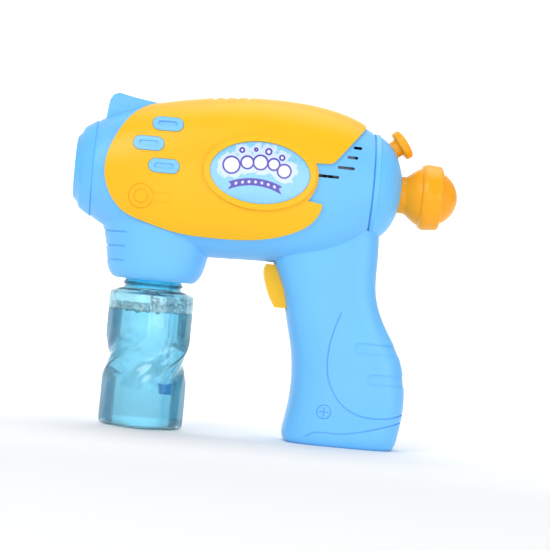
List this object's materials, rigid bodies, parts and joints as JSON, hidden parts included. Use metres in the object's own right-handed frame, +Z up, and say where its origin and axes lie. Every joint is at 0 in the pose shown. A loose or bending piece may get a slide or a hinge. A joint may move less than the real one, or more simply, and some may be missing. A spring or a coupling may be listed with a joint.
{
  "type": "toy bubble machine",
  "caption": "Hand-held battery bubble blower shaped like a toy pistol: screw-on bottle under the nose, trigger grip, blower and hose pump inside, ball knob and push button at the back.",
  "frame": {"origin": "centre of the bounding box's footprint; the bottle's base and the grip's base both stand on Z = 0", "axes": "+Z up; -X is the way the bubbles leave, +X towards the rear knob; -Y is the toy's left side; the case parts on Y = 0"},
  "size_m": [0.17, 0.0596, 0.15],
  "materials": {
    "case_blue": "satin moulded sky-blue plastic",
    "panel_yellow": "satin moulded yellow plastic",
    "badge_blue": "glossy printed light-blue plate",
    "inlay_blue": "satin light-blue plastic",
    "knob_orange": "satin orange plastic",
    "bottle_clear": "clear cyan-blue blown plastic",
    "seal_rubber": "soft white seal",
    "inner_white": "moulded white plastic",
    "gear_white": "moulded white gear plastic",
    "tube_clear": "clear soft tube",
    "steel": "plain steel",
    "cell_wrap": "plain cell wrapper",
    "board_green": "circuit board with parts",
    "lamp_clear": "clear lamp",
    "speaker_black": "black moulded plastic"
  },
  "bodies": {
    "housing": {"left_shell": "case_blue", "right_shell": "case_blue", "left_side_panel": "panel_yellow", "right_side_panel": "panel_yellow", "left_badge": "badge_blue", "right_badge": "badge_blue", "left_badge_rim": "panel_yellow", "right_badge_rim": "panel_yellow", "left_trims": "inlay_blue", "right_trims": "inlay_blue", "case_screws": "steel", "nozzle_shroud": "case_blue", "rear_cap": "case_blue", "rear_knob": "knob_orange", "button_spring": "steel", "button_switch": "speaker_black", "wand_funnel": "inner_white", "lamp_boards": "board_green", "lamps": "lamp_clear", "drip_tray": "inner_white", "bottle_collar": "inner_white", "fan_housing": "inner_white", "fan_cover": "inner_white", "air_duct": "inner_white", "motor": "steel", "gearbox_plate": "inner_white", "gearbox_cover": "inner_white", "idler_pin": "steel", "pump_housing": "inner_white", "pump_hose": "tube_clear", "dip_tube": "tube_clear", "tube_filter": "inner_white", "battery_box": "case_blue", "battery_springs": "steel", "battery_plates": "steel", "trigger_spring": "steel", "trigger_switch": "speaker_black", "circuit_board": "board_green", "speaker": "speaker_black", "cell_1": "cell_wrap", "cell_2": "cell_wrap", "cell_3": "cell_wrap"},
    "trigger_body": {"trigger": "panel_yellow"},
    "button_body": {"rear_button": "knob_orange"},
    "fan_body": {"impeller": "gear_white", "motor_shaft": "steel", "motor_pinion": "gear_white"},
    "idler_body": {"idler_gear": "gear_white"},
    "pump_body": {"pump_rotor": "gear_white", "pump_wheel": "gear_white"},
    "roller_1_body": {"pump_roller_1": "gear_white"},
    "roller_2_body": {"pump_roller_2": "gear_white"},
    "roller_3_body": {"pump_roller_3": "gear_white"},
    "seal_body": {"bottle_seal": "seal_rubber"},
    "bottle_body": {"bottle": "bottle_clear"},
    "cover_body": {"battery_cover": "case_blue", "cover_screw": "steel"}
  },
  "joints": [
    {"name": "trigger_pull", "type": "slide", "parent": "housing", "child": "trigger_body", "axis": [1, 0, 0], "range_m": [0, 0.0055], "stiffness_N_per_m": 350, "springref_m": -0.002, "deforming": ["trigger_spring"]},
    {"name": "button_press", "type": "slide", "parent": "housing", "child": "button_body", "axis": [-0.8, 0, -0.6], "range_m": [0, 0.0018], "stiffness_N_per_m": 600, "springref_m": -0.0015, "deforming": ["button_spring"]},
    {"name": "fan_spin", "type": "hinge", "parent": "housing", "child": "fan_body", "pos_m": [0.02, 0, 0.113], "axis": [0, 1, 0], "continuous": true},
    {"name": "idler_spin", "type": "hinge", "parent": "housing", "child": "idler_body", "pos_m": [0.0056, 0.018, 0.113], "axis": [0, 1, 0], "continuous": true},
    {"name": "pump_spin", "type": "hinge", "parent": "housing", "child": "pump_body", "pos_m": [-0.0094, 0.01, 0.113], "axis": [0, 1, 0], "continuous": true},
    {"name": "seal_drop", "type": "slide", "parent": "housing", "child": "seal_body", "axis": [0, 0, -1], "range_m": [0, 0.007]},
    {"name": "bottle_unscrew", "type": "hinge", "parent": "seal_body", "child": "bottle_body", "pos_m": [-0.046, 0, 0.0716], "axis": [0, 0, -1], "range_deg": [0, 630.01]},
    {"name": "cover_release", "type": "slide", "parent": "housing", "child": "cover_body", "axis": [0, 1, 0], "range_m": [0, 0.02]},
    {"name": "roller_1_spin", "type": "hinge", "parent": "pump_body", "child": "roller_1_body", "pos_m": [-0.00386, 0.0075, 0.1162], "axis": [0, 1, 0], "continuous": true},
    {"name": "roller_2_spin", "type": "hinge", "parent": "pump_body", "child": "roller_2_body", "pos_m": [-0.01494, 0.0075, 0.1162], "axis": [0, 1, 0], "continuous": true},
    {"name": "roller_3_spin", "type": "hinge", "parent": "pump_body", "child": "roller_3_body", "pos_m": [-0.0094, 0.0075, 0.1066], "axis": [0, 1, 0], "continuous": true}
  ],
  "couplings": [
    {"joint": "idler_spin", "follows": "fan_spin", "ratio": -0.2},
    {"joint": "pump_spin", "follows": "fan_spin", "ratio": 0.05},
    {"joint": "bottle_unscrew", "follows": "seal_drop", "rad_per_m": 1570.8},
    {"joint": "roller_1_spin", "follows": "fan_spin", "ratio": -0.15},
    {"joint": "roller_2_spin", "follows": "fan_spin", "ratio": -0.15},
    {"joint": "roller_3_spin", "follows": "fan_spin", "ratio": -0.15}
  ]
}
